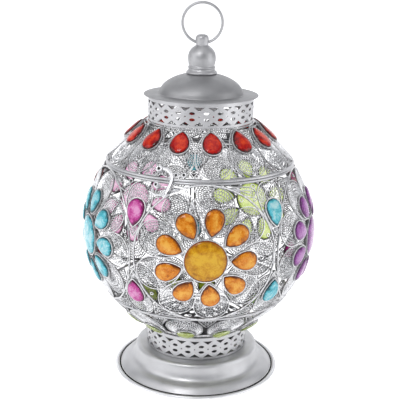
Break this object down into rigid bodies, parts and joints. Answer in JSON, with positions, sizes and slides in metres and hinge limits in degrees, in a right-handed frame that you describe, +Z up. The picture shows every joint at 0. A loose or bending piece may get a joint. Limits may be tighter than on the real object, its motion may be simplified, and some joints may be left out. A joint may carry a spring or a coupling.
{
  "type": "candle lantern",
  "caption": "Round silver filigree lantern with coloured glass stones, spun foot, hinged lid, hook latch and hanging ring.",
  "frame": {"origin": "middle of the foot's underside, on the surface it stands on", "axes": "+Z up the lantern's axis; the latch faces -Y, the lid's hinge is at +Y with its pin along X"},
  "size_m": [0.2328, 0.232, 0.3715],
  "materials": {
    "silver": "satin silver paint on steel",
    "filigree": "silver paint on twisted and flattened wire",
    "plate_steel": "duller silver paint",
    "glass_orange": "translucent cast glass, mottled inside",
    "glass_purple": "translucent cast glass, mottled inside",
    "glass_lime": "translucent cast glass, mottled inside",
    "glass_pink": "translucent cast glass, mottled inside",
    "glass_turquoise": "translucent cast glass, mottled inside",
    "glass_magenta": "translucent cast glass, mottled inside",
    "glass_red": "translucent cast glass, mottled inside",
    "glass_green": "translucent cast glass, mottled inside"
  },
  "bodies": {
    "body": {"foot_rim_ring": "silver", "foot_dish": "silver", "lower_gallery": "filigree", "candle_plate": "plate_steel", "foot_bolt": "plate_steel", "foot_washer": "plate_steel", "foot_nut": "plate_steel", "skirt_filigree": "filigree", "skirt_stones_green": "glass_green", "lower_hoop": "silver", "body_top_hoop": "silver", "medallion_1_filigree": "filigree", "medallion_1_petals_orange": "glass_orange", "medallion_1_centre_orange": "glass_orange", "upper_spandrel_1": "filigree", "lower_spandrel_1": "filigree", "upper_stone_1_turquoise": "glass_turquoise", "lower_stone_1_turquoise": "glass_turquoise", "medallion_2_filigree": "filigree", "medallion_2_petals_purple": "glass_purple", "medallion_2_centre_purple": "glass_purple", "upper_spandrel_2": "filigree", "lower_spandrel_2": "filigree", "upper_stone_2_magenta": "glass_magenta", "lower_stone_2_magenta": "glass_magenta", "medallion_3_filigree": "filigree", "medallion_3_petals_lime": "glass_lime", "medallion_3_centre_lime": "glass_lime", "upper_spandrel_3": "filigree", "lower_spandrel_3": "filigree", "upper_stone_3_turquoise": "glass_turquoise", "lower_stone_3_turquoise": "glass_turquoise", "medallion_4_filigree": "filigree", "medallion_4_petals_pink": "glass_pink", "medallion_4_centre_pink": "glass_pink", "upper_spandrel_4": "filigree", "lower_spandrel_4": "filigree", "upper_stone_4_red": "glass_red", "lower_stone_4_red": "glass_red", "medallion_5_filigree": "filigree", "medallion_5_petals_turquoise": "glass_turquoise", "medallion_5_centre_turquoise": "glass_turquoise", "upper_spandrel_5": "filigree", "lower_spandrel_5": "filigree", "upper_stone_5_magenta": "glass_magenta", "lower_stone_5_magenta": "glass_magenta", "latch_catch": "silver", "hinge_leaf_body": "silver", "hinge_pin": "plate_steel"},
    "lid": {"lid_hoop": "silver", "cap_filigree": "filigree", "cap_stones_red": "glass_red", "upper_gallery": "filigree", "dome": "silver", "finial": "silver", "finial_nut": "plate_steel", "hinge_leaf_lid": "silver", "latch_rivet": "silver"},
    "hook": {"latch_hook": "silver"},
    "ring": {"hanging_ring": "silver"}
  },
  "joints": [
    {"name": "lid_hinge", "type": "hinge", "parent": "body", "child": "lid", "pos_m": [0, 0.09534, 0.2188], "axis": [-1, 0, 0], "range_deg": [0, 100]},
    {"name": "hook_pivot", "type": "hinge", "parent": "lid", "child": "hook", "pos_m": [0, -0.08769, 0.22759], "axis": [0, -0.809, 0.5878], "range_deg": [0, 80]},
    {"name": "ring_swing", "type": "hinge", "parent": "lid", "child": "ring", "pos_m": [0, 0, 0.3324], "axis": [0.9135, 0.4067, 0], "range_deg": [-90, 90]}
  ]
}
